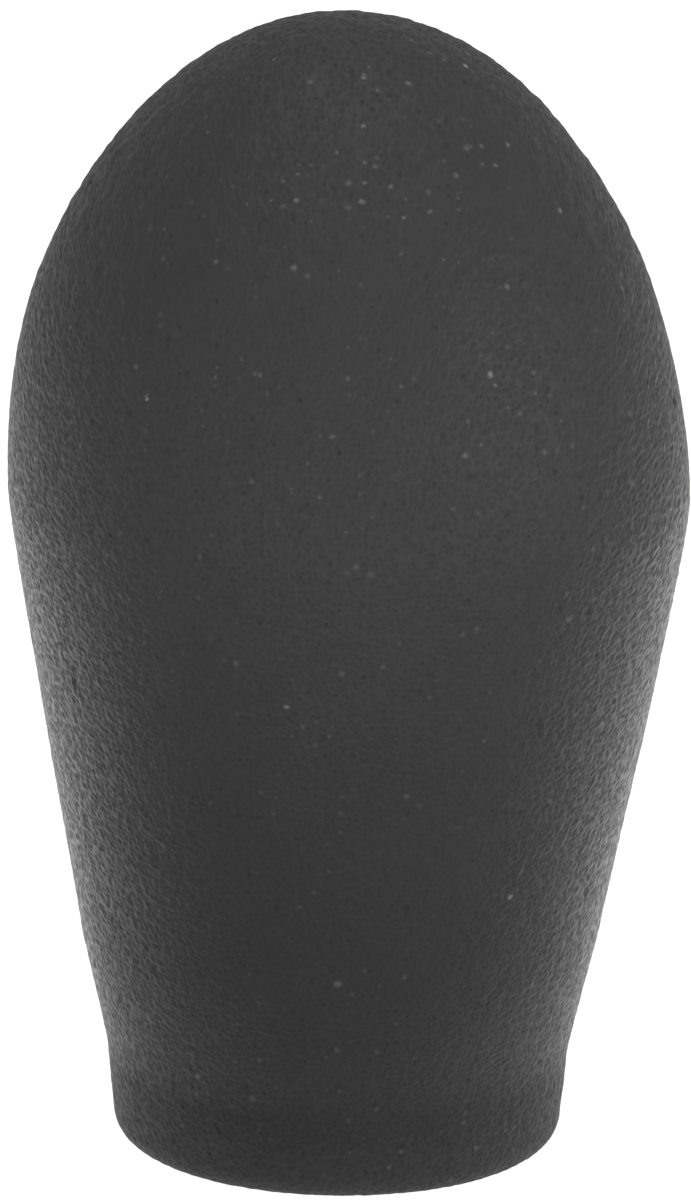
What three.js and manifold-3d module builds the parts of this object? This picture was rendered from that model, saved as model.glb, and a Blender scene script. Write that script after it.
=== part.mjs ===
// A foam windscreen for a handheld instrument microphone, with a snap-in collar in its mouth.
// Millimetres, +Z up along the axis. The origin is the centre of the mouth's rim, which is the face
// that the windscreen stands on.
//
// The pieces, from the outside in:
//   foam_body       one block of open-cell foam, ground to an egg shape, with a blind bore for the grille
//   adhesive_film   contact adhesive between the foam's pocket and the collar
//   collar          moulded sleeve whose shelf stops the microphone's head flange
//   finger_1 to 8   the collar's spring fingers: each flexes outward at its root as the flange goes
//                   past its barb, and springs back to catch under it

import * as THREE from "three";
import { mergeVertices } from "three/addons/utils/BufferGeometryUtils.js";
import Module from "manifold-3d";

const wasm = await Module();
wasm.setup();

// ---- Driving dimensions ----

// The microphone that goes in: a grille with a wider flange round its base.
const FLANGE_RADIUS = 16;
const FLANGE_THICKNESS = 4.8;
const GRILLE_RADIUS = 14;

// The foam's outside.
const HEIGHT = 108.5;
const WIDEST_RADIUS = 32;
const WIDEST_Z = 63.4;
const MOUTH_RADIUS = 21.4;
const RIM_ROUND = 2.2;
const RIM_ROUND_TOP = 2.6;
// [radius, z] above the rim: nearly straight over the collar, then a shallow waist where the foam
// lets go of the collar.
const WAIST = [
  [21.82, 6],
  [21.98, 9],
  [22.9, 12.5],
];
// The long straight taper, from its foot to where it starts to round over to the widest ring.
const TAPER_FOOT = [24.5, 20];
const TAPER_TOP = [30, 50];
const WAIST_BLEND = 8; // how far up the taper the waist's curve settles

// The foam's inside.
const BORE_DEPTH = 68;
const ROOF_ROUND = 3;
const LIP_RADIUS = 17.2;
const LIP_THICKNESS = 2.2;
const LIP_EDGE = 0.5;

// The collar.
const COLLAR_BOTTOM = 2.5;
const COLLAR_TOP = 11.5;
const SHELF_THICKNESS = 1.2;
const SHELF_HOLE_RADIUS = 14.8;
const STOP_DROP = 0.6; // how far the flange's stop stands below the shelf
const SLEEVE_OUTER = 19.3;
const SLEEVE_INNER = 18.3;
const COLLAR_CHAMFER = 0.3;
const GROOVE_DEPTH = 0.35;
const GROOVE_WIDTH = 0.8;
const GROOVE_BOTTOMS = [4.2, 6.6, 9];

// The adhesive, and the gap that touching pieces keep.
const GAP = 0.05;
const ADHESIVE_THICKNESS = 0.3;
const END_GAP = 0.3;

// The fingers.
const FINGER_COUNT = 8;
const FINGER_ARC = THREE.MathUtils.degToRad(32);
const FINGER_CLEARANCE = 0.3; // between a finger and the flange
const FINGER_THICKNESS = 1.1;
const TIP_THICKNESS = 0.8;
const ROOT_THICKNESS = 0.7;
const ROOT_LENGTH = 0.9;
const HINGE_GAP = 0.3;
const FINGER_TIP = 2.9;
const BARB_REACH = 0.9; // how far the barb stands in from the finger's inner face
const LEAD_IN_HEIGHT = 1.3; // the slope that the flange rides up
const CATCH_SLOPE = 0.3;

// How finely the round shapes are faceted.
const TURN_STEPS = 48;
const CROWN_STEPS = 16;
const WAIST_STEPS = 20;
const SHOULDER_STEPS = 6;
const ROUND_STEPS = 5;

// ---- Sizes that follow ----

const SHELF_UNDERSIDE = COLLAR_TOP - SHELF_THICKNESS;
const STOP_FACE = SHELF_UNDERSIDE - STOP_DROP;
const ADHESIVE_INNER = SLEEVE_OUTER + GAP;
const ADHESIVE_OUTER = ADHESIVE_INNER + ADHESIVE_THICKNESS;
const POCKET_RADIUS = ADHESIVE_OUTER + GAP;
const POCKET_TOP = COLLAR_TOP + END_GAP;
const FINGER_INNER = FLANGE_RADIUS + FINGER_CLEARANCE;
const FINGER_TOP = SHELF_UNDERSIDE - HINGE_GAP;
const BARB_RADIUS = FINGER_INNER - BARB_REACH;
const CATCH_Z = STOP_FACE - FLANGE_THICKNESS;

// ---- Helpers ----

const at = (r, z) => new THREE.Vector2(r, z);

// Points along a quarter of an ellipse round (r, z), from one angle to the other.
function quarter(r, z, across, up, from, to, steps) {
  return new THREE.EllipseCurve(r, z, across, up, from, to, to < from).getPoints(steps);
}

// A solid of revolution about Z. A profile of (r, z) points runs up the outside and down the inside.
function turned(profile) {
  return new THREE.LatheGeometry(profile, TURN_STEPS).rotateX(Math.PI / 2);
}

function toSolid(geometry) {
  const bare = new THREE.BufferGeometry().setAttribute("position", geometry.getAttribute("position"));
  bare.setIndex(geometry.getIndex());
  const merged = mergeVertices(bare, 1e-4);
  return new wasm.Manifold(
    new wasm.Mesh({
      numProp: 3,
      vertProperties: merged.getAttribute("position").array,
      triVerts: new Uint32Array(merged.getIndex().array),
    }),
  );
}

function toGeometry(solid) {
  const mesh = solid.getMesh();
  return new THREE.BufferGeometry()
    .setAttribute("position", new THREE.BufferAttribute(mesh.vertProperties, 3))
    .setIndex(new THREE.BufferAttribute(mesh.triVerts, 1));
}

function part(name, geometry, material) {
  const mesh = new THREE.Mesh(geometry, material);
  mesh.name = name;
  return mesh;
}

// ---- Materials ----

const foam = new THREE.MeshStandardMaterial({ color: 0x3e3e3e, roughness: 0.95, metalness: 0 });
const adhesive = new THREE.MeshStandardMaterial({ color: 0xb9a06a, roughness: 0.5, metalness: 0 });
const nylon = new THREE.MeshStandardMaterial({ color: 0x161617, roughness: 0.55, metalness: 0 });

// ---- Pieces ----

function foamGeometry() {
  const slope = (TAPER_TOP[0] - TAPER_FOOT[0]) / (TAPER_TOP[1] - TAPER_FOOT[1]);
  const onTaper = (z) => at(TAPER_FOOT[0] + slope * (z - TAPER_FOOT[1]), z);
  const waist = new THREE.SplineCurve([
    at(MOUTH_RADIUS, RIM_ROUND_TOP),
    ...WAIST.map(([r, z]) => at(r, z)),
    at(...TAPER_FOOT),
    onTaper(TAPER_FOOT[1] + WAIST_BLEND),
  ]);
  const shoulder = new THREE.QuadraticBezierCurve(
    at(...TAPER_TOP),
    at(WIDEST_RADIUS, TAPER_TOP[1] + (WIDEST_RADIUS - TAPER_TOP[0]) / slope),
    at(WIDEST_RADIUS, WIDEST_Z),
  );
  const roofCentre = GRILLE_RADIUS - ROOF_ROUND;
  const roofRound = quarter(
    roofCentre, BORE_DEPTH - ROOF_ROUND, ROOF_ROUND, ROOF_ROUND, Math.PI / 2, 0, ROUND_STEPS,
  );
  const rim = quarter(
    MOUTH_RADIUS - RIM_ROUND, RIM_ROUND_TOP, RIM_ROUND, RIM_ROUND_TOP, -Math.PI / 2, 0, ROUND_STEPS,
  );
  const crown = quarter(0, WIDEST_Z, WIDEST_RADIUS, HEIGHT - WIDEST_Z, 0, Math.PI / 2, CROWN_STEPS);
  crown[crown.length - 1].x = 0;
  return turned([
    at(0, BORE_DEPTH),
    ...roofRound,
    at(GRILLE_RADIUS, POCKET_TOP),
    at(POCKET_RADIUS, POCKET_TOP),
    at(POCKET_RADIUS, LIP_THICKNESS),
    at(LIP_RADIUS, LIP_THICKNESS),
    at(LIP_RADIUS, LIP_EDGE),
    at(LIP_RADIUS + LIP_EDGE, 0),
    ...rim,
    ...waist.getPoints(WAIST_STEPS).slice(1),
    ...shoulder.getPoints(SHOULDER_STEPS),
    ...crown.slice(1),
  ]);
}

function adhesiveGeometry() {
  const bottom = COLLAR_BOTTOM + GAP;
  const top = COLLAR_TOP - GAP;
  return turned([
    at(ADHESIVE_OUTER, bottom),
    at(ADHESIVE_OUTER, top),
    at(ADHESIVE_INNER, top),
    at(ADHESIVE_INNER, bottom),
    at(ADHESIVE_OUTER, bottom),
  ]);
}

// The grooves round the sleeve give the adhesive a hold.
function collarGeometry() {
  const grooves = GROOVE_BOTTOMS.flatMap((z) => [
    at(SLEEVE_OUTER, z),
    at(SLEEVE_OUTER - GROOVE_DEPTH, z),
    at(SLEEVE_OUTER - GROOVE_DEPTH, z + GROOVE_WIDTH),
    at(SLEEVE_OUTER, z + GROOVE_WIDTH),
  ]);
  return turned([
    at(SLEEVE_OUTER, COLLAR_BOTTOM),
    ...grooves,
    at(SLEEVE_OUTER, COLLAR_TOP - COLLAR_CHAMFER),
    at(SLEEVE_OUTER - COLLAR_CHAMFER, COLLAR_TOP),
    at(SHELF_HOLE_RADIUS + COLLAR_CHAMFER, COLLAR_TOP),
    at(SHELF_HOLE_RADIUS, COLLAR_TOP - COLLAR_CHAMFER),
    at(SHELF_HOLE_RADIUS, STOP_FACE),
    at(FLANGE_RADIUS, STOP_FACE),
    at(FLANGE_RADIUS, SHELF_UNDERSIDE),
    at(SLEEVE_INNER, SHELF_UNDERSIDE),
    at(SLEEVE_INNER, COLLAR_BOTTOM + COLLAR_CHAMFER),
    at(SLEEVE_INNER + COLLAR_CHAMFER, COLLAR_BOTTOM),
    at(SLEEVE_OUTER, COLLAR_BOTTOM),
  ]);
}

// The whole ring of fingers as one turned solid: a thin root, a blade, and a barb at the tip.
function fingerRing() {
  const rootInner = FINGER_INNER + (FINGER_THICKNESS - ROOT_THICKNESS) / 2;
  const rootBottom = FINGER_TOP - ROOT_LENGTH;
  const bladeTop = rootBottom - (FINGER_THICKNESS - ROOT_THICKNESS);
  const tipMiddle = FINGER_INNER + TIP_THICKNESS / 2;
  return toSolid(
    turned([
      at(FINGER_INNER + TIP_THICKNESS, FINGER_TIP),
      at(FINGER_INNER + FINGER_THICKNESS, bladeTop),
      at(rootInner + ROOT_THICKNESS, rootBottom),
      at(rootInner + ROOT_THICKNESS, FINGER_TOP),
      at(rootInner, FINGER_TOP),
      at(rootInner, rootBottom),
      at(FINGER_INNER, bladeTop),
      at(FINGER_INNER, CATCH_Z),
      at(BARB_RADIUS, CATCH_Z - CATCH_SLOPE),
      at(BARB_RADIUS, FINGER_TIP + LEAD_IN_HEIGHT),
      at(tipMiddle, FINGER_TIP),
      at(FINGER_INNER + TIP_THICKNESS, FINGER_TIP),
    ]),
  );
}

// A wedge round the axis that cuts one finger out of the ring.
function fingerWedge(angle) {
  const reach = 2 * SLEEVE_OUTER;
  const side = (turn) => [reach * Math.cos(angle + turn), reach * Math.sin(angle + turn)];
  const outline = new THREE.Shape()
    .moveTo(0, 0)
    .lineTo(...side(-FINGER_ARC / 2))
    .lineTo(...side(FINGER_ARC / 2))
    .closePath();
  return toSolid(new THREE.ExtrudeGeometry(outline, { depth: COLLAR_TOP, bevelEnabled: false }));
}

// ---- The windscreen ----

const windscreen = new THREE.Group();
windscreen.add(part("foam_body", foamGeometry(), foam));
windscreen.add(part("adhesive_film", adhesiveGeometry(), adhesive));
windscreen.add(part("collar", collarGeometry(), nylon));

const ring = fingerRing();
for (let i = 0; i < FINGER_COUNT; i += 1) {
  const wedge = fingerWedge((i * 2 * Math.PI) / FINGER_COUNT);
  windscreen.add(part(`finger_${i + 1}`, toGeometry(ring.intersect(wedge)), nylon));
}

export default windscreen;
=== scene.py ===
# %% [markdown]
# # A foam windscreen for a stage microphone
#
# The windscreen is a block of fine, open-cell polyurethane foam, ground to the shape of an egg that
# stands on its narrow end. A bore runs up into it for the microphone's grille. In the mouth sits a
# moulded collar whose eight spring fingers snap over the flange of the microphone's head.
#
# Everything here is in metres, in the frame of the CAD model: +Z is up along the windscreen's axis,
# and the origin is the centre of the rim that it stands on.

# %% Load the frame
import math

import bmesh
import bpy
import numpy as np
from mathutils import Matrix, Vector, geometry, noise


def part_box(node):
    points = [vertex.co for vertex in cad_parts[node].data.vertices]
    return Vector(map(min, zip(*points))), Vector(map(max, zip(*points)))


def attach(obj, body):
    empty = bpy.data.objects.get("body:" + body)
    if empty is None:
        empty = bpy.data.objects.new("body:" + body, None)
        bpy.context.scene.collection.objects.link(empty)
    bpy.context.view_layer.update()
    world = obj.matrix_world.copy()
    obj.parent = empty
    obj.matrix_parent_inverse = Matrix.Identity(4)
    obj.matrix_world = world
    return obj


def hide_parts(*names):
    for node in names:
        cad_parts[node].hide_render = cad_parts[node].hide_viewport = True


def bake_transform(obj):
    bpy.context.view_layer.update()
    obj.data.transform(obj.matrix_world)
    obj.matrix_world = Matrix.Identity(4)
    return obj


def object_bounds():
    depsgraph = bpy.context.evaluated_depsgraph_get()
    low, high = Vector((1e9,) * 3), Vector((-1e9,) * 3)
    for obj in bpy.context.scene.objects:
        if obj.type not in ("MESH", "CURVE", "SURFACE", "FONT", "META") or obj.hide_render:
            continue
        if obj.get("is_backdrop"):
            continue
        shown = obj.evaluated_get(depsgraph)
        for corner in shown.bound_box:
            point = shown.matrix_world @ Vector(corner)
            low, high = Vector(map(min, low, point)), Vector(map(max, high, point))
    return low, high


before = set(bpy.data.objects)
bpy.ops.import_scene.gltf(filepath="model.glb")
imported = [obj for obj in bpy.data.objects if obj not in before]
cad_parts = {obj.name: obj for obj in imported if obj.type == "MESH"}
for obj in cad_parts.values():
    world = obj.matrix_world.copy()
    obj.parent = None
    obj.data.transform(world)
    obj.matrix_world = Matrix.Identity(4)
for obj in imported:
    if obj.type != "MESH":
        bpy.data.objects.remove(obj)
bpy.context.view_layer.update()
MM = 0.001
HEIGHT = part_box("foam_body")[1].z
WIDEST_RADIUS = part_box("foam_body")[1].x
print(f"the CAD model is {2 * WIDEST_RADIUS / MM:.1f} mm wide and {HEIGHT / MM:.1f} mm tall")

# %% [markdown]
# ## Two helpers for materials
#
# Colours are easier to compare with a real thing as sRGB hex values, the ones that a colour picker
# shows. Blender's shaders work in linear light, so one function turns them. A second function adds
# a node, gives it its settings, and links or fills its inputs, which keeps each material readable.

# %% Helpers for materials
def linear(hex_colour):
    """The linear RGBA of an sRGB colour such as "#3d3d3d"."""
    values = [int(hex_colour[i : i + 2], 16) / 255 for i in (1, 3, 5)]
    curve = [v / 12.92 if v <= 0.04045 else ((v + 0.055) / 1.055) ** 2.4 for v in values]
    return (*curve, 1.0)


def add(tree, kind, inputs=None, **settings):
    """Adds a node. inputs says what goes into each socket: another node's output, or a value."""
    node = tree.nodes.new(kind)
    for name, value in settings.items():
        setattr(node, name, value)
    for name, value in (inputs or {}).items():
        if isinstance(value, bpy.types.NodeSocket):
            tree.links.new(value, node.inputs[name])
        else:
            node.inputs[name].default_value = value
    return node


def new_material(name):
    """An empty node material, and its tree with only an output in it."""
    material = bpy.data.materials.new(name)
    material.use_nodes = True
    material.node_tree.nodes.clear()
    return material, material.node_tree


# %% [markdown]
# ## The camera
#
# The windscreen is seen from the front and a little above, from about arm's length, through a long
# lens. A long lens keeps the egg's outline almost the same as in a drawing. The camera aims at the
# middle of the height, a hair to one side, and it is rolled by a little under a degree, as a
# hand-set camera often is.

# %% Camera
CAMERA_DISTANCE = 0.70
CAMERA_ELEVATION = math.radians(14.5)
CAMERA_ROLL = math.radians(0.8)
CAMERA_AIM = Vector((0.1 * MM, 0, 52.5 * MM))
SENSOR = 36.0
FOCAL_LENGTH = 222.8
NEAREST_SEEN = 0.01


def look_from(place, target):
    """The rotation of a camera or lamp at place that points at target."""
    return (target - place).to_track_quat("-Z", "Y").to_euler()


back_off = Vector((0, -math.cos(CAMERA_ELEVATION), math.sin(CAMERA_ELEVATION)))
camera = bpy.data.objects.new("camera", bpy.data.cameras.new("camera"))
camera.data.sensor_width = SENSOR
camera.data.lens = FOCAL_LENGTH
camera.location = CAMERA_AIM + CAMERA_DISTANCE * back_off
camera.rotation_euler = look_from(camera.location, CAMERA_AIM)
camera.rotation_euler.rotate_axis("Z", CAMERA_ROLL)
camera.data.clip_start = NEAREST_SEEN
bpy.context.scene.collection.objects.link(camera)
bpy.context.scene.camera = camera
print(f"the camera stands {camera.location.length:.2f} m away")

# %% [markdown]
# ## The studio
#
# Dark foam is hard to light, because it swallows what falls on its face. Here it stands on an opal
# table that glows. The glow is strongest in a pool behind the windscreen: foam reflects a little at
# a grazing angle even though it's matt, so the flanks pick up the pool and their cells show, while
# the crown looks past the table into a dimmer room and stays dark. Just in front of the rim the
# table is nearly dark, and further forward it's bright again. That lights the belly from below and
# leaves the mouth darker. A large soft box overhead and a weak one from the right fill in the rest.
# The table is clear from below, so that the mouth can be looked at from underneath. It's set down
# by a hair, so that the pebbled rim doesn't cut through it.

# %% Table and room
TABLE_SIZE = 6.0
TABLE_DROP = 0.12 * MM
TABLE_GLOW = 0.9
SEEN_GLOW = 1.0
FAR_START, FAR_END, FAR_SHARE = 0.8, 1.8, 0.6
GLOW_CENTRE = (0, 0.17, 0)
GLOW_EDGE, GLOW_FULL = 0.207, 0.196
BACK_EVEN = 0.05
NEAR_GLOW, NEAR_START = 0.18, -0.10
BEYOND_GLOW, BEYOND_START = 1.6, -0.14
POOL_GLOW = 2.0
POOL_EDGE, POOL_CORE = 0.32, 0.1
POOL_FRONT, POOL_BACK = -0.03, 0.05
ROOM_STRENGTH = 0.48

table_material, tree = new_material("opal_table")
place = add(tree, "ShaderNodeTexCoord").outputs["Object"]
depth = add(tree, "ShaderNodeSeparateXYZ", {0: place}).outputs["Y"]
from_middle = add(tree, "ShaderNodeVectorMath", {0: place}, operation="LENGTH")
far = add(
    tree,
    "ShaderNodeMapRange",
    {
        "Value": from_middle.outputs["Value"],
        "From Min": FAR_START,
        "From Max": FAR_END,
        "To Min": 1.0,
        "To Max": FAR_SHARE,
    },
    interpolation_type="SMOOTHSTEP",
)
from_centre = add(
    tree, "ShaderNodeVectorMath", {0: place, 1: GLOW_CENTRE}, operation="DISTANCE"
).outputs["Value"]
disc = add(
    tree,
    "ShaderNodeMapRange",
    {"Value": from_centre, "From Min": GLOW_EDGE, "From Max": GLOW_FULL},
    interpolation_type="SMOOTHSTEP",
)
back_half = add(
    tree,
    "ShaderNodeMapRange",
    {"Value": depth, "From Max": BACK_EVEN},
    interpolation_type="SMOOTHSTEP",
)
even = add(
    tree, "ShaderNodeMath", {0: disc.outputs[0], 1: back_half.outputs[0]}, operation="MAXIMUM"
)
forward = add(
    tree,
    "ShaderNodeMapRange",
    {
        "Value": depth,
        "From Min": BEYOND_START,
        "From Max": NEAR_START,
        "To Min": BEYOND_GLOW,
        "To Max": NEAR_GLOW,
    },
    interpolation_type="SMOOTHSTEP",
)
base = add(
    tree, "ShaderNodeMix", {"Factor": even.outputs[0], "A": forward.outputs[0], "B": TABLE_GLOW}
)
round_pool = add(
    tree,
    "ShaderNodeMapRange",
    {"Value": from_centre, "From Min": POOL_EDGE, "From Max": POOL_CORE},
    interpolation_type="SMOOTHSTEP",
)
behind = add(
    tree,
    "ShaderNodeMapRange",
    {"Value": depth, "From Min": POOL_FRONT, "From Max": POOL_BACK, "To Max": POOL_GLOW},
    interpolation_type="SMOOTHSTEP",
)
pool = add(
    tree, "ShaderNodeMath", {0: round_pool.outputs[0], 1: behind.outputs[0]}, operation="MULTIPLY"
)
strength = add(
    tree,
    "ShaderNodeMath",
    {0: far.outputs[0], 1: base.outputs[0], 2: pool.outputs[0]},
    operation="MULTIPLY_ADD",
)
# The glow is graded only in the light that it throws. Seen directly, the table is plain white.
ray = add(tree, "ShaderNodeLightPath")
shown = add(
    tree,
    "ShaderNodeMix",
    {"Factor": ray.outputs["Is Camera Ray"], "A": strength.outputs[0], "B": SEEN_GLOW},
)
glow = add(
    tree, "ShaderNodeEmission", {"Color": linear("#ffffff"), "Strength": shown.outputs[0]}
)
opal = add(tree, "ShaderNodeBsdfDiffuse", {"Color": linear("#7c7c7a")})
lit = add(tree, "ShaderNodeAddShader", {0: opal.outputs[0], 1: glow.outputs[0]})
clear = add(tree, "ShaderNodeBsdfTransparent")
facing = add(tree, "ShaderNodeNewGeometry")
one_way = add(
    tree,
    "ShaderNodeMixShader",
    {0: facing.outputs["Backfacing"], 1: lit.outputs[0], 2: clear.outputs[0]},
)
add(tree, "ShaderNodeOutputMaterial", {"Surface": one_way.outputs[0]})

bm = bmesh.new()
bmesh.ops.create_grid(bm, x_segments=1, y_segments=1, size=TABLE_SIZE / 2)
table_mesh = bpy.data.meshes.new("table")
bm.to_mesh(table_mesh)
bm.free()
table = bpy.data.objects.new("table", table_mesh)
table.data.materials.append(table_material)
table.location.z = -TABLE_DROP
bpy.context.scene.collection.objects.link(table)
table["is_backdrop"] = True

room = bpy.data.worlds.new("studio")
room.use_nodes = True
background = room.node_tree.nodes["Background"]
background.inputs["Color"].default_value = linear("#ffffff")
background.inputs["Strength"].default_value = ROOM_STRENGTH
bpy.context.scene.world = room
bpy.context.scene.view_settings.view_transform = "Standard"
print(f"the table glows, and the room behind it is {ROOM_STRENGTH:.0%} as bright as white")

# %% Lamps
def soft_box(name, azimuth, elevation, distance, size, power, aim):
    """A rectangular lamp that faces aim. Azimuth is measured from the camera's side towards +X."""
    a, e = math.radians(azimuth), math.radians(elevation)
    towards = Vector((math.sin(a) * math.cos(e), -math.cos(a) * math.cos(e), math.sin(e)))
    lamp = bpy.data.objects.new(name, bpy.data.lights.new(name, "AREA"))
    lamp.data.shape = "RECTANGLE"
    lamp.data.size, lamp.data.size_y = size
    lamp.data.energy = power
    lamp.location = aim + distance * towards
    lamp.rotation_euler = look_from(lamp.location, aim)
    lamp.visible_camera = False
    bpy.context.scene.collection.objects.link(lamp)


MIDDLE = Vector((0, 0, HEIGHT / 2))
soft_box(
    "overhead_box",
    azimuth=0,
    elevation=85,
    distance=1.0,
    size=(0.8, 0.8),
    power=2.7,
    aim=MIDDLE,
)
soft_box(
    "side_box",
    azimuth=62,
    elevation=12,
    distance=1.2,
    size=(0.5, 0.3),
    power=3.0,
    aim=MIDDLE,
)

# %% [markdown]
# ## The foam's material
#
# Windscreen foam is open-cell polyurethane with 50 to 60 pores in an inch, so a cell is a little
# under half a millimetre across. It is dyed through in charcoal. Grinding leaves the cut cell walls
# standing as a fine nap: head on it looks smooth and dead matt, and edge on it shows every wall.
# The cells rise in the mould, so they are longer one way than across, and that way runs slantwise
# over this block.
#
# The bump comes from two patterns in the same stretched space: round cells, which are the pores,
# and a finer noise for the torn walls. Here and there a larger pore was opened, which makes a pit.
# Pores and pits are painted darker, as shade in their hollows. The dye is nearly even, and varies
# in soft blotches a few millimetres across.
# Paler specks are painted into the colour: part crumbs of dust, part painted glints where unbroken
# cell walls catch the light. Most are faint, a few are bright, they lie in patches, and there are
# more near the crown, where dust settles. In a band over the stiff collar, near the table, the foam
# is painted darker as shade, and it is rougher there, so that band is also more matt.

# %% Foam material
CELL = 0.45 * MM
CELL_STRETCH = 1.9
CELL_TILT = math.radians(-66)
PORE_SOFTNESS = 0.35
WALL_FINENESS, WALL_SHARE = 1.7, 0.4
PORE_LOW, PORE_HIGH, PORE_TOP = 0.3, 0.9, 1.0
PORE_ROUGHNESS, WALL_ROUGHNESS = 0.75, 0.48
# Painted shade: pores and pits are darker in colour, as shade in their hollows.
PORE_SHADE_TONE, HIGH_TONE = 0.96, 1.04
PIT_DEPTH, PIT_SHADE_TONE = 1.1, 0.86
BLOTCH, DARK_BLOTCH, PALE_BLOTCH = 6 * MM, 0.9, 1.1
# Painted shade: a band just above the rim is darker, as shade near the table, and it is also
# rougher.
FOOT_BAND_FULL, FOOT_BAND_TOP = 6 * MM, 13 * MM
FOOT_SHADE_TONE, FOOT_BAND_ROUGHER = 0.81, 0.12
SHEEN_LEVEL = 0.25
GROUND_RELIEF, CUT_RELIEF = 0.09 * MM, 0.22 * MM
GROUND_COLOUR, CUT_COLOUR = "#383838", "#333333"

# Paler specks: part dust, part painted glints where unbroken cell walls catch the light.
DUST_AND_GLINT_COLOUR = "#c2c0bb"
SPECKS_FROM, SPECKS_FULL, SPECKS_AT_FOOT = 0.6 * HEIGHT, 0.9 * HEIGHT, 0.4
SPECK_PATCH, SPECKS_BETWEEN = 8 * MM, 0.2
RAGGED = 0.3 * MM
DULLEST_SPECK = 0.4


def specks(tree, place, spacing, share, reach, strength):
    """Scattered specks, from 0 to strength. A share of a lattice of random places holds one."""
    spot = add(tree, "ShaderNodeTexVoronoi", {"Vector": place, "Scale": 1 / spacing})
    chance = add(tree, "ShaderNodeSeparateColor", {"Color": spot.outputs["Color"]})
    size = add(
        tree,
        "ShaderNodeMapRange",
        {
            "Value": chance.outputs["Red"],
            "From Min": share,
            "From Max": 0.0,
            "To Max": reach / spacing,
        },
    )
    near = add(
        tree,
        "ShaderNodeMapRange",
        {"Value": spot.outputs["Distance"], "From Min": size.outputs[0], "From Max": 0.0},
        interpolation_type="SMOOTHSTEP",
    )
    faded = add(
        tree,
        "ShaderNodeMapRange",
        {"Value": chance.outputs["Green"], "To Min": DULLEST_SPECK * strength, "To Max": strength},
    )
    return add(
        tree, "ShaderNodeMath", {0: near.outputs[0], 1: faded.outputs[0]}, operation="MULTIPLY"
    )


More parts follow.
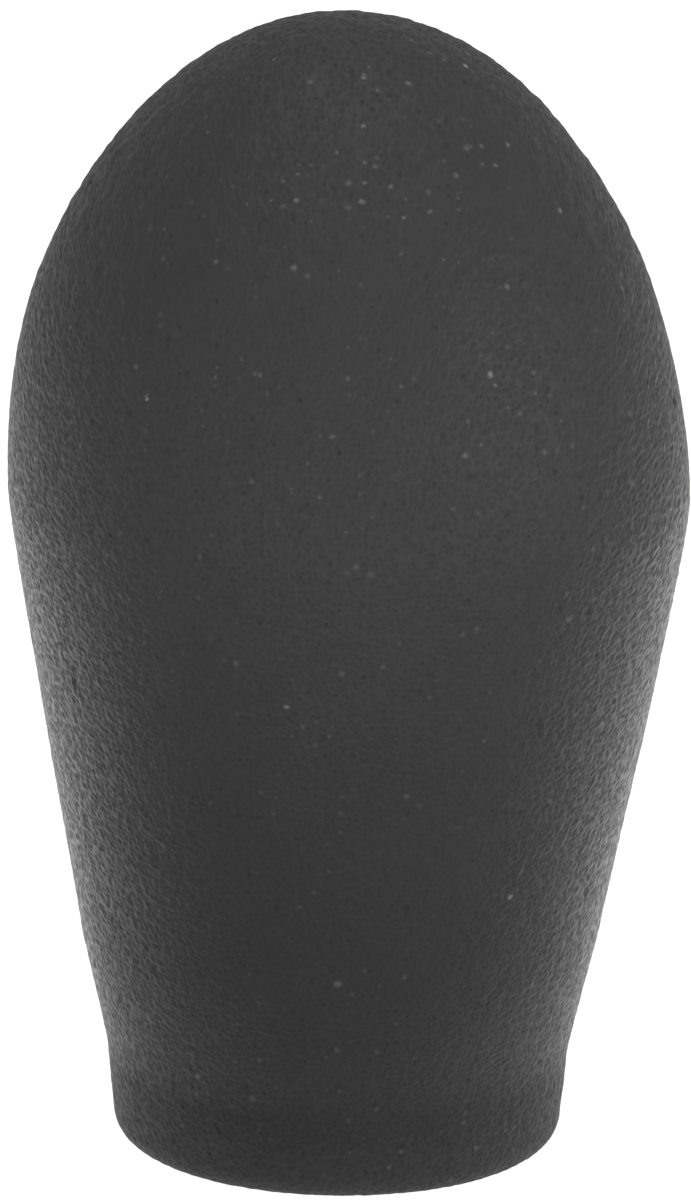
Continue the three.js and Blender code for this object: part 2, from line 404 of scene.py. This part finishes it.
def foam_material(name, colour, relief, outer):
    """Foam whose cells are relief deep. outer is 1 outside, and 0 inside, where there are no specks
    and no painted foot shade.
    """
    material, tree = new_material(name)
    place = add(tree, "ShaderNodeTexCoord").outputs["Object"]
    # Dividing by the cell's size makes each pattern's own scale 1.
    cells = add(
        tree,
        "ShaderNodeMapping",
        {
            "Vector": place,
            "Rotation": (CELL_TILT, 0, 0),
            "Scale": (CELL, CELL, CELL * CELL_STRETCH),
        },
        vector_type="TEXTURE",
    ).outputs[0]
    pores = add(
        tree,
        "ShaderNodeTexVoronoi",
        {"Vector": cells, "Scale": 1.0, "Smoothness": PORE_SOFTNESS},
        feature="SMOOTH_F1",
    )
    walls = add(
        tree, "ShaderNodeTexNoise", {"Vector": cells, "Scale": WALL_FINENESS, "Detail": 2.0}
    )
    height = add(
        tree,
        "ShaderNodeMath",
        {0: walls.outputs["Fac"], 1: WALL_SHARE, 2: pores.outputs["Distance"]},
        operation="MULTIPLY_ADD",
    )
    # A small noise bends the specks' lattice, so that no speck is quite round.
    ragged = add(
        tree, "ShaderNodeTexNoise", {"Vector": place, "Scale": 1 / RAGGED, "Detail": 1.0}
    )
    wobble = add(
        tree,
        "ShaderNodeVectorMath",
        {0: ragged.outputs["Color"], 1: (RAGGED,) * 3, 2: place},
        operation="MULTIPLY_ADD",
    ).outputs[0]
    pits = specks(tree, cells, spacing=1.9, share=0.6, reach=0.9, strength=1.0).outputs[0]
    height = add(
        tree,
        "ShaderNodeMath",
        {0: pits, 1: -PIT_DEPTH, 2: height.outputs[0]},
        operation="MULTIPLY_ADD",
    )
    bump = add(
        tree,
        "ShaderNodeBump",
        {"Height": height.outputs[0], "Strength": 1.0, "Distance": relief},
    )
    # A deep pore is painted a little darker than the ground tops of the walls, and a pit darker
    # still: painted shade in their hollows.
    tone = add(
        tree,
        "ShaderNodeMapRange",
        {
            "Value": height.outputs[0],
            "From Min": PORE_LOW,
            "From Max": PORE_TOP,
            "To Min": PORE_SHADE_TONE,
            "To Max": HIGH_TONE,
        },
    )
    blotches = add(
        tree, "ShaderNodeTexNoise", {"Vector": place, "Scale": 1 / BLOTCH, "Detail": 3.0}
    )
    blotch_tone = add(
        tree,
        "ShaderNodeMapRange",
        {"Value": blotches.outputs["Fac"], "To Min": DARK_BLOTCH, "To Max": PALE_BLOTCH},
    )
    # Painted shade: a pit is darker, as shade in its hollow.
    painted_pit_shade = add(tree, "ShaderNodeMapRange", {"Value": pits, "To Min": 1.0, "To Max": PIT_SHADE_TONE})
    up = add(tree, "ShaderNodeSeparateXYZ", {0: place})
    # The band just above the rim, where the foam is painted darker as shade and made more matt.
    foot_band = add(
        tree,
        "ShaderNodeMapRange",
        {
            "Value": up.outputs["Z"],
            "From Min": FOOT_BAND_TOP,
            "From Max": FOOT_BAND_FULL,
            "To Max": outer,
        },
        interpolation_type="SMOOTHSTEP",
    ).outputs[0]
    # Painted shade: the band near the table is darker.
    painted_foot_shade = add(
        tree, "ShaderNodeMapRange", {"Value": foot_band, "To Min": 1.0, "To Max": FOOT_SHADE_TONE}
    )
    tones = tone.outputs[0]
    for other in (blotch_tone, painted_pit_shade, painted_foot_shade):
        times = add(tree, "ShaderNodeMath", {0: tones, 1: other.outputs[0]}, operation="MULTIPLY")
        tones = times.outputs[0]
    dyed = add(
        tree,
        "ShaderNodeVectorMath",
        {0: linear(colour)[:3], "Scale": tones},
        operation="SCALE",
    )
    speck_height = add(
        tree,
        "ShaderNodeMapRange",
        {
            "Value": up.outputs["Z"],
            "From Min": SPECKS_FROM,
            "From Max": SPECKS_FULL,
            "To Min": SPECKS_AT_FOOT,
        },
    )
    faint = specks(
        tree, wobble, spacing=1.2 * MM, share=0.6, reach=0.46 * MM, strength=0.3
    ).outputs[0]
    bright = specks(
        tree, wobble, spacing=2.6 * MM, share=0.24, reach=0.6 * MM, strength=0.9
    ).outputs[0]
    patches = add(
        tree, "ShaderNodeTexNoise", {"Vector": place, "Scale": 1 / SPECK_PATCH, "Detail": 1.0}
    )
    patchy = add(
        tree,
        "ShaderNodeMapRange",
        {
            "Value": patches.outputs["Fac"],
            "From Min": 0.4,
            "From Max": 0.6,
            "To Min": SPECKS_BETWEEN,
        },
        interpolation_type="SMOOTHSTEP",
    )
    # Paler specks, part dust and part painted glints on unbroken cell walls.
    dust_and_glints = add(tree, "ShaderNodeMath", {0: faint, 1: bright}, operation="MAXIMUM")
    covered = dust_and_glints.outputs[0]
    for other in (speck_height.outputs[0], patchy.outputs[0], outer):
        times = add(tree, "ShaderNodeMath", {0: covered, 1: other}, operation="MULTIPLY")
        covered = times.outputs[0]
    colour_out = add(
        tree,
        "ShaderNodeMix",
        {"Factor": covered, "A": dyed.outputs[0], "B": linear(DUST_AND_GLINT_COLOUR)},
        data_type="RGBA",
    )
    # The ground tops of the walls are smoother than the pores, which shows at a grazing angle.
    rough = add(
        tree,
        "ShaderNodeMapRange",
        {
            "Value": height.outputs[0],
            "From Min": PORE_LOW,
            "From Max": PORE_HIGH,
            "To Min": PORE_ROUGHNESS,
            "To Max": WALL_ROUGHNESS,
        },
    )
    matt = add(
        tree,
        "ShaderNodeMath",
        {0: foot_band, 1: FOOT_BAND_ROUGHER, 2: rough.outputs[0]},
        operation="MULTIPLY_ADD",
    )
    surface = add(
        tree,
        "ShaderNodeBsdfPrincipled",
        {
            "Base Color": colour_out.outputs["Result"],
            "Roughness": matt.outputs[0],
            "Specular IOR Level": SHEEN_LEVEL,
            "Normal": bump.outputs[0],
        },
    )
    add(tree, "ShaderNodeOutputMaterial", {"Surface": surface.outputs[0]})
    return material


ground_foam = foam_material("polyurethane_foam_ground", GROUND_COLOUR, GROUND_RELIEF, 1.0)
cut_foam = foam_material("polyurethane_foam_cut", CUT_COLOUR, CUT_RELIEF, 0.0)
print(f"a foam cell is {CELL / MM:.2f} mm across and {CELL * CELL_STRETCH / MM:.2f} mm long")

# %% [markdown]
# ## The foam body
#
# The body is turned: a half outline spun round the axis. The outside is a short rounded rim, a band
# that is nearly straight where the stiff collar holds the foam out, a long straight taper, a
# shoulder, and half an ellipse for the crown. The inside is the bore with its rounded roof, and the
# pocket for the collar with a lip below it.

# %% Outline helpers
def arc(centre, across, up, start, stop, steps):
    """Points on an ellipse round centre, from one angle to the other, in degrees."""
    angles = [math.radians(start + (stop - start) * i / steps) for i in range(steps + 1)]
    return [(centre[0] + across * math.cos(t), centre[1] + up * math.sin(t)) for t in angles]


def curve(first, handle, last, steps):
    """Points on a curve that leaves first towards handle, and reaches last from it."""
    a, h, b = (Vector((*p, 0)) for p in (first, handle, last))
    points = geometry.interpolate_bezier(a, a + (h - a) * 2 / 3, b + (h - b) * 2 / 3, b, steps + 1)
    return [(p.x, p.y) for p in points]


def turn(name, outline, steps):
    """Spins a half outline, given in millimetres as (radius, height), round the Z axis."""
    bm = bmesh.new()
    ring = [bm.verts.new((r * MM, 0, z * MM)) for r, z in outline]
    edges = [bm.edges.new(pair) for pair in zip(ring, ring[1:])]
    if outline[0][0] > 0:
        edges.append(bm.edges.new((ring[-1], ring[0])))
    bmesh.ops.spin(
        bm,
        geom=ring + edges,
        cent=(0, 0, 0),
        axis=(0, 0, 1),
        angle=2 * math.pi,
        steps=steps,
        use_merge=True,
    )
    bmesh.ops.remove_doubles(bm, verts=bm.verts, dist=0.001 * MM)
    bmesh.ops.recalc_face_normals(bm, faces=bm.faces)
    mesh = bpy.data.meshes.new(name)
    bm.to_mesh(mesh)
    bm.free()
    piece = bpy.data.objects.new(name, mesh)
    bpy.context.scene.collection.objects.link(piece)
    return piece


# %% Foam outline
MOUTH_RADIUS = 21.4
RIM_ROUND = (2.2, 2.6)
BAND_HANDLES = ((21.55, 4.0), (21.8, 6.3))
BAND_TOP = (21.95, 8.6)
WAIST_OUT, WAIST_UP = 0.2, 1.6
TAPER_FOOT = (24.5, 20.0)
TAPER_TOP = (30.0, 50.0)
WIDEST_Z = 63.4
BORE_RADIUS = 14.0
BORE_DEPTH = 68.0
ROOF_ROUND = 3.0
LIP_RADIUS = 17.2
LIP_THICKNESS = 2.2
LIP_EDGE = 0.5
POCKET_GAP, POCKET_HEADROOM = 0.05, 0.3

pocket_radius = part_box("adhesive_film")[1].x / MM + POCKET_GAP
pocket_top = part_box("collar")[1].z / MM + POCKET_HEADROOM
widest = WIDEST_RADIUS / MM
slope = (TAPER_TOP[0] - TAPER_FOOT[0]) / (TAPER_TOP[1] - TAPER_FOOT[1])
shoulder_z = TAPER_TOP[1] + (widest - TAPER_TOP[0]) / slope
waist = (BAND_TOP[0] + WAIST_OUT, BAND_TOP[1] + WAIST_UP)

outline = [
    (0, BORE_DEPTH),
    *arc((BORE_RADIUS - ROOF_ROUND, BORE_DEPTH - ROOF_ROUND), ROOF_ROUND, ROOF_ROUND, 90, 0, 6),
    (BORE_RADIUS, pocket_top),
    (pocket_radius, pocket_top),
    (pocket_radius, LIP_THICKNESS),
    (LIP_RADIUS, LIP_THICKNESS),
    (LIP_RADIUS, LIP_EDGE),
    (LIP_RADIUS + LIP_EDGE, 0),
    *arc((MOUTH_RADIUS - RIM_ROUND[0], RIM_ROUND[1]), *RIM_ROUND, -90, 0, 10),
    *curve(*BAND_HANDLES, BAND_TOP, 4),
    *curve(BAND_TOP, waist, TAPER_FOOT, 8)[1:],
    TAPER_TOP,
    *curve(TAPER_TOP, (widest, shoulder_z), (widest, WIDEST_Z), 10)[1:],
    *arc((0, WIDEST_Z), widest, HEIGHT / MM - WIDEST_Z, 0, 90, 40)[1:-1],
    (0, HEIGHT / MM),
]
foam = turn("foam_windscreen", outline, 160)
print(f"the outline has {len(outline)} points, and turns into {len(foam.data.polygons)} faces")

# %% [markdown]
# A turned shape is too perfect for foam, and its faces crowd together at the crown. A voxel remesh
# gives every part of the surface the same small faces. Then each point moves a little along its
# normal: a long swell, because the block is pressed against the grinding wheel by hand, a pebbled
# grain a little wider than a cell, and a few nicks where the wheel tore a cluster of cells out.
# The crown is ground a little slim. Last, the soft block bows a little to one side and back.

# %% Foam mesh
FOAM_VOXEL = 0.34 * MM

remesh = foam.modifiers.new("remesh", "REMESH")
remesh.mode = "VOXEL"
remesh.voxel_size = FOAM_VOXEL
remesh.adaptivity = 0.0
remesh.use_smooth_shade = True


def applied(piece):
    """Makes a piece's modifiers part of its mesh."""
    graph = bpy.context.evaluated_depsgraph_get()
    mesh = bpy.data.meshes.new_from_object(piece.evaluated_get(graph))
    piece.modifiers.clear()
    old, piece.data = piece.data, mesh
    bpy.data.meshes.remove(old)
    return piece


applied(foam)
print(f"the remeshed foam has {len(foam.data.polygons)} faces")

# %% Foam wear and grain
SWELL, SWELL_SIZE = 0.12 * MM, 16 * MM
PEBBLE, PEBBLE_SIZE = 0.06 * MM, 0.65 * MM
NICK_DEPTH, NICK_SPACING, NICK_RADIUS = 0.3 * MM, 3.5 * MM, 0.13
NICK_SHARE, NICK_SHUFFLE, NICK_SHARPNESS = 0.12, 7.3, 0.6
LUMP, LUMP_SIZE = 0.12 * MM, 1.4 * MM
LUMP_START, LUMP_FULL = 76 * MM, 92 * MM
OUTSIDE_RADII = (17.5 * MM, 20.5 * MM)
OUTSIDE_HEIGHTS = (70 * MM, 76 * MM)
CUT_PEBBLES = 0.4
BOW, BOW_START, BOW_END = 0.33 * MM, 15 * MM, 50 * MM
RETURN, RETURN_START, RETURN_END = 0.8 * MM, 60 * MM, 84 * MM
PINCH, PINCH_START, PINCH_FULL, PINCH_END = 0.3 * MM, 82 * MM, 97 * MM, 108 * MM
PINCH_FADE = 0.7


def read(items, what):
    """Three numbers for each point or face of a mesh, as an array with three columns."""
    values = np.empty(len(items) * 3, np.float32)
    items.foreach_get(what, values)
    return values.reshape(-1, 3).astype(float)


def smooth_step(values, low, high):
    """From 0 at low to 1 at high, with no corner at either end."""
    t = np.clip((values - low) / (high - low), 0, 1)
    return t * t * (3 - 2 * t)


def sampled(points, size, pattern):
    """A pattern's value at each point, with one unit of the pattern as long as size."""
    return np.array([pattern(Vector(p)) for p in points / size])


def nick(place):
    """How deep a torn nick is here, from 0 to 1. Few cells of the lattice hold one."""
    distances, centres = noise.voronoi(place)
    if noise.cell(centres[0] * NICK_SHUFFLE) > NICK_SHARE * 2 - 1:
        return 0.0
    return max(0.0, 1 - distances[0] / NICK_RADIUS) ** NICK_SHARPNESS


points = read(foam.data.vertices, "co")
normals = read(foam.data.vertex_normals, "vector")
radius = np.hypot(points[:, 0], points[:, 1])
height = points[:, 2]
# Only the outside is ground. The bore and the pocket are cut with a clean blade.
outside = smooth_step(radius, *OUTSIDE_RADII) + smooth_step(height, *OUTSIDE_HEIGHTS)
outside = np.clip(outside, 0, 1)
# The pebbles are as much longer one way as the cells are.
cell_axis = np.array([0, -math.sin(CELL_TILT), math.cos(CELL_TILT)])
along_cells = (points @ cell_axis)[:, None] * cell_axis
shortened = points - along_cells * (1 - 1 / CELL_STRETCH)
swell = SWELL * sampled(points, SWELL_SIZE, noise.noise)
pebbles = PEBBLE * sampled(shortened, PEBBLE_SIZE, noise.noise)
# The wheel is taken round the crown by hand, which leaves it a little lumpy.
lumps = LUMP * sampled(points, LUMP_SIZE, noise.noise)
lumps *= smooth_step(height, LUMP_START, LUMP_FULL)
nicks = NICK_DEPTH * sampled(points, NICK_SPACING, nick)
pinch = PINCH * smooth_step(height, PINCH_START, PINCH_FULL)
pinch *= 1 - PINCH_FADE * smooth_step(height, PINCH_FULL, PINCH_END)
rise = outside * (swell + pebbles + lumps - nicks - pinch)
rise += (1 - outside) * CUT_PEBBLES * pebbles
points += normals * rise[:, None]
# Above its stiff collar the soft block bows a little to one side, and back again at the crown.
bow = BOW * smooth_step(height, BOW_START, BOW_END)
bow -= RETURN * smooth_step(height, RETURN_START, RETURN_END)
points[:, 0] += bow * outside
foam.data.vertices.foreach_set("co", points.astype(np.float32).ravel())
foam.data.update()
print(f"the swell reaches {swell.max() / MM:.2f} mm and the pebbles {pebbles.max() / MM:.2f} mm")
print(f"{(nicks > 0).sum()} points lie in nicks")

# %% Foam faces
BORE_SLACK, ROOF_SLACK, POCKET_SLACK = 0.2, 1, 0.3

middles = read(foam.data.polygons, "center") / MM
from_axis, up = np.hypot(middles[:, 0], middles[:, 1]), middles[:, 2]
bore = (from_axis < LIP_RADIUS + BORE_SLACK) & (up < BORE_DEPTH + ROOF_SLACK)
pocket = (from_axis < pocket_radius + POCKET_SLACK) & (up < pocket_top + POCKET_SLACK)
pocket &= up > LIP_THICKNESS - POCKET_SLACK
foam.data.materials.clear()
for material in (ground_foam, cut_foam):
    foam.data.materials.append(material)
foam.data.polygons.foreach_set("material_index", (bore | pocket).astype(np.int32))
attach(foam, "windscreen")
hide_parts("foam_body")
print(f"{(bore | pocket).mean():.0%} of the foam's faces are cut, and the rest are ground")

# %% [markdown]
# ## The collar's material
#
# The collar is injection-moulded polypropylene, dyed black. The mould was spark eroded, which gives
# a fine, even, satin grain, and the plastic keeps a slightly waxy sheen. A real grain is about a
# tenth of a millimetre, which is drawn at twice that here so that it shows in a close view. Where
# the flange rubs past the barbs the grain is burnished, so those high edges are smoother.

# %% Collar material
GRAIN, GRAIN_DEPTH = 0.2 * MM, 0.02 * MM
FLOW = 5 * MM
FLOW_LOW, FLOW_HIGH = 0.3, 0.7
FLAT_EDGE, SHARP_EDGE = 0.52, 0.6
BURNISH = 0.15
POLYPROPYLENE_IOR = 1.49


def moulded_plastic(name, colour):
    """Black polypropylene from a spark-eroded mould."""
    material, tree = new_material(name)
    place = add(tree, "ShaderNodeTexCoord").outputs["Object"]
    grain = add(tree, "ShaderNodeTexNoise", {"Vector": place, "Scale": 1 / GRAIN, "Detail": 3.0})
    flow = add(
        tree,
        "ShaderNodeTexNoise",
        {"Vector": place, "Scale": 1 / FLOW, "Detail": 2.0, "Distortion": 1.5},
    )
    bump = add(
        tree,
        "ShaderNodeBump",
        {"Height": grain.outputs["Fac"], "Strength": 0.5, "Distance": GRAIN_DEPTH},
    )
    edges = add(tree, "ShaderNodeNewGeometry")
    worn = add(
        tree,
        "ShaderNodeMapRange",
        {"Value": edges.outputs["Pointiness"], "From Min": FLAT_EDGE, "From Max": SHARP_EDGE},
    )
    rough = add(
        tree,
        "ShaderNodeMapRange",
        {
            "Value": flow.outputs["Fac"],
            "From Min": FLOW_LOW,
            "From Max": FLOW_HIGH,
            "To Min": 0.4,
            "To Max": 0.54,
        },
    )
    burnished = add(
        tree,
        "ShaderNodeMath",
        {0: worn.outputs[0], 1: -BURNISH, 2: rough.outputs[0]},
        operation="MULTIPLY_ADD",
    )
    tone = add(
        tree,
        "ShaderNodeMapRange",
        {
            "Value": flow.outputs["Fac"],
            "From Min": FLOW_LOW,
            "From Max": FLOW_HIGH,
            "To Min": 0.85,
            "To Max": 1.2,
        },
    )
    dyed = add(
        tree,
        "ShaderNodeVectorMath",
        {0: linear(colour)[:3], "Scale": tone.outputs[0]},
        operation="SCALE",
    )
    surface = add(
        tree,
        "ShaderNodeBsdfPrincipled",
        {
            "Base Color": dyed.outputs[0],
            "Roughness": burnished.outputs[0],
            "IOR": POLYPROPYLENE_IOR,
            "Normal": bump.outputs[0],
        },
    )
    add(tree, "ShaderNodeOutputMaterial", {"Surface": surface.outputs[0]})
    return material


polypropylene = moulded_plastic("polypropylene_moulded", "#1b1b1c")
print(f"the plastic's grain is drawn {GRAIN / MM:.1f} mm wide")

# %% [markdown]
# ## The collar
#
# One moulding holds the microphone: a sleeve that is glued into the foam, with three keying grooves
# round it, a shelf across its top with a hole for the grille, and a stop ring under the shelf that
# the flange's upper face meets. It is turned like the foam, its edges are rounded by a bevel, and
# eight ejector pins have each left a shallow round mark in the shelf between two fingers.

# %% Collar
TURN_STEPS = 128
SLEEVE_WALL = 1.0
SHELF_THICKNESS = 1.2
STOP_DROP = 0.6
SHELF_HOLE = 14.8
FLANGE_RADIUS = 16.0
GROOVE_DEPTH = 0.35
GROOVE_WIDTH = 0.8
GROOVE_BOTTOMS = (4.2, 6.6, 9.0)
PIN_RADIUS = 0.8
PIN_DEPTH = 0.12
PIN_RING = 17.2
FINGER_COUNT = 8
COLLAR_EDGE = 0.08 * MM

collar_low, collar_high = (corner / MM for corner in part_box("collar"))
sleeve_outer = collar_high.x
sleeve_inner = sleeve_outer - SLEEVE_WALL
shelf_underside = collar_high.z - SHELF_THICKNESS
stop_face = shelf_underside - STOP_DROP


def finish_edges(piece, width, segments=3, smooth_angle=30):
    """Rounds a piece's sharp edges and shades the rest smooth."""
    bevel = piece.modifiers.new("edges", "BEVEL")
    bevel.width = width
    bevel.segments = segments
    bevel.limit_method = "ANGLE"
    bevel.angle_limit = math.radians(smooth_angle)
    bevel.harden_normals = True
    piece.data.shade_smooth()
    return applied(piece)


def grooved(depth, width, radius):
    """The stretch of a half outline that goes in and out of the keying grooves."""
    points = []
    for bottom in GROOVE_BOTTOMS:
        low = bottom + (GROOVE_WIDTH - width) / 2
        points += [(radius, low), (radius - depth, low)]
        points += [(radius - depth, low + width), (radius, low + width)]
    return points


collar = turn(
    "collar_moulding",
    [
        (sleeve_outer, collar_low.z),
        *grooved(GROOVE_DEPTH, GROOVE_WIDTH, sleeve_outer),
        (sleeve_outer, collar_high.z),
        (SHELF_HOLE, collar_high.z),
        (SHELF_HOLE, stop_face),
        (FLANGE_RADIUS, stop_face),
        (FLANGE_RADIUS, shelf_underside),
        (sleeve_inner, shelf_underside),
        (sleeve_inner, collar_low.z),
    ],
    TURN_STEPS,
)

bm = bmesh.new()
for i in range(FINGER_COUNT):
    turned_by = Matrix.Rotation(2 * math.pi * (i + 0.5) / FINGER_COUNT, 4, "Z")
    at_shelf = Matrix.Translation((PIN_RING * MM, 0, shelf_underside * MM))
    bmesh.ops.create_cone(
        bm,
        cap_ends=True,
        segments=24,
        radius1=PIN_RADIUS * MM,
        radius2=PIN_RADIUS * MM,
        depth=2 * PIN_DEPTH * MM,
        matrix=turned_by @ at_shelf,
    )
pins = bpy.data.objects.new("ejector_pins", bpy.data.meshes.new("ejector_pins"))
bm.to_mesh(pins.data)
bm.free()
bpy.context.scene.collection.objects.link(pins)
marks = collar.modifiers.new("pin_marks", "BOOLEAN")
marks.operation = "DIFFERENCE"
marks.object = pins
applied(collar)
bpy.data.objects.remove(pins)
finish_edges(collar, COLLAR_EDGE)
collar.data.materials.clear()
collar.data.materials.append(polypropylene)
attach(collar, "windscreen")
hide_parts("collar")
print(f"the collar has {len(collar.data.polygons)} faces")

# %% [markdown]
# ## The spring fingers
#
# Each finger hangs from the shelf by a root that is thin enough to bend, and ends in a barb with a
# sloping lead-in below and a steep catch above. Its half section is one flat face, which is spun
# through the finger's own width to make the solid. The root is divided finely from top to bottom.

# %% Fingers
FINGER_ARC = math.radians(32)
FINGER_STEPS = 16
TIP_THICKNESS = 0.8
ROOT_INNER, ROOT_OUTER = 16.5, 17.2
ROOT_LENGTH = 0.9
ROOT_RINGS = 5
ROOT_FLARE = 0.22
CATCH_Z, CATCH_SLOPE, LEAD_IN = 4.9, 0.3, 1.3
FLANGE_GAP = 0.3
BLADE_TAPER = 0.4
FINGER_EDGE = 0.09 * MM

finger_low, finger_high = (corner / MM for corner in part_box("finger_1"))
barb_radius, blade_outer = finger_low.x, finger_high.x
blade_inner = FLANGE_RADIUS + FLANGE_GAP
root_bottom = finger_high.z - ROOT_LENGTH
blade_top = root_bottom - BLADE_TAPER
flare_z = shelf_underside - ROOT_FLARE
root_heights = [
    root_bottom + (flare_z - root_bottom) * i / ROOT_RINGS for i in range(ROOT_RINGS + 1)
]
finger_outline = [
    (blade_inner + TIP_THICKNESS, finger_low.z),
    (blade_outer, blade_top),
    *[(ROOT_OUTER, z) for z in root_heights],
    (ROOT_OUTER + ROOT_FLARE, shelf_underside),
    (ROOT_INNER - ROOT_FLARE, shelf_underside),
    *[(ROOT_INNER, z) for z in reversed(root_heights)],
    (blade_inner, blade_top),
    (blade_inner, CATCH_Z),
    (barb_radius, CATCH_Z - CATCH_SLOPE),
    (barb_radius, finger_low.z + LEAD_IN),
    (blade_inner + TIP_THICKNESS / 2, finger_low.z),
]


def make_finger(number):
    """One finger, turned to its own place round the collar."""
    angle = 2 * math.pi * (number - 1) / FINGER_COUNT
    bm = bmesh.new()
    section = bm.faces.new([bm.verts.new((r * MM, 0, z * MM)) for r, z in finger_outline])
    start = Matrix.Rotation(angle - FINGER_ARC / 2, 4, "Z")
    bmesh.ops.transform(bm, matrix=start, verts=bm.verts)
    bmesh.ops.spin(
        bm,
        geom=[section, *section.edges, *section.verts],
        cent=(0, 0, 0),
        axis=(0, 0, 1),
        angle=FINGER_ARC,
        steps=FINGER_STEPS,
        use_merge=False,
    )
    bmesh.ops.recalc_face_normals(bm, faces=bm.faces)
    piece = bpy.data.objects.new(f"spring_finger_{number}", bpy.data.meshes.new("finger"))
    bm.to_mesh(piece.data)
    bm.free()
    bpy.context.scene.collection.objects.link(piece)
    finish_edges(piece, FINGER_EDGE, smooth_angle=25)
    piece.data.materials.append(polypropylene)
    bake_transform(piece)
    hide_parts(f"finger_{number}")
    return piece


fingers = [make_finger(number) for number in range(1, FINGER_COUNT + 1)]
print(f"{len(fingers)} fingers of {len(fingers[0].data.polygons)} faces each")

# %% [markdown]
# ## The adhesive
#
# The collar is stuck in with contact adhesive, which dries to a clear amber rubber with small
# bubbles in it. It fills the keying grooves, soaks a little way into the foam's cells on the other
# side, and swells into a bead where it was squeezed out past the collar's lower edge.

# %% Adhesive material
BUBBLE, BUBBLE_DEPTH = 0.45 * MM, 0.08 * MM
CLOUD = 4 * MM
RUBBER_IOR = 1.5

contact_cement, tree = new_material("contact_cement_dried")
place = add(tree, "ShaderNodeTexCoord").outputs["Object"]
bubbles = add(tree, "ShaderNodeTexVoronoi", {"Vector": place, "Scale": 1 / BUBBLE})
clouds = add(tree, "ShaderNodeTexNoise", {"Vector": place, "Scale": 1 / CLOUD, "Detail": 3.0})
tint = add(
    tree,
    "ShaderNodeMix",
    {"Factor": clouds.outputs["Fac"], "A": linear("#8a6a34"), "B": linear("#c8a869")},
    data_type="RGBA",
)
bubble_bump = add(
    tree,
    "ShaderNodeBump",
    {"Height": bubbles.outputs["Distance"], "Strength": 0.6, "Distance": BUBBLE_DEPTH},
)
gloss = add(
    tree,
    "ShaderNodeMapRange",
    {"Value": clouds.outputs["Fac"], "To Min": 0.22, "To Max": 0.42},
)
surface = add(
    tree,
    "ShaderNodeBsdfPrincipled",
    {
        "Base Color": tint.outputs["Result"],
        "Roughness": gloss.outputs[0],
        "IOR": RUBBER_IOR,
        "Normal": bubble_bump.outputs[0],
    },
)
add(tree, "ShaderNodeOutputMaterial", {"Surface": surface.outputs[0]})
print(f"the adhesive's bubbles are {BUBBLE / MM:.2f} mm apart")

# %% Adhesive film
FILM_CLEARANCE = 0.02
FILM_EDGE = 0.06 * MM
BEAD = 0.22

film_low, film_high = (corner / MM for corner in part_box("adhesive_film"))
film_inner = sleeve_outer + FILM_CLEARANCE
film = turn(
    "adhesive_bead",
    [
        *grooved(GROOVE_DEPTH, GROOVE_WIDTH - 2 * FILM_CLEARANCE, film_inner),
        (film_inner, film_high.z),
        (film_high.x, film_high.z),
        (film_high.x, film_low.z - BEAD),
        (film_inner - 2 * BEAD, film_low.z - BEAD),
        (film_inner - 3 * BEAD, film_low.z - BEAD / 2),
        (film_inner - 2 * BEAD, collar_low.z - FILM_CLEARANCE),
        (film_inner, collar_low.z - FILM_CLEARANCE),
    ],
    TURN_STEPS,
)
finish_edges(film, FILM_EDGE, segments=2)
film.data.materials.append(contact_cement)
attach(film, "windscreen")
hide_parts("adhesive_film")
print(f"the adhesive film has {len(film.data.polygons)} faces")

low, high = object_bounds()
width, tall = (high.x - low.x) / MM, (high.z - low.z) / MM
print(f"the visual model is {width:.1f} mm wide and {tall:.1f} mm tall")
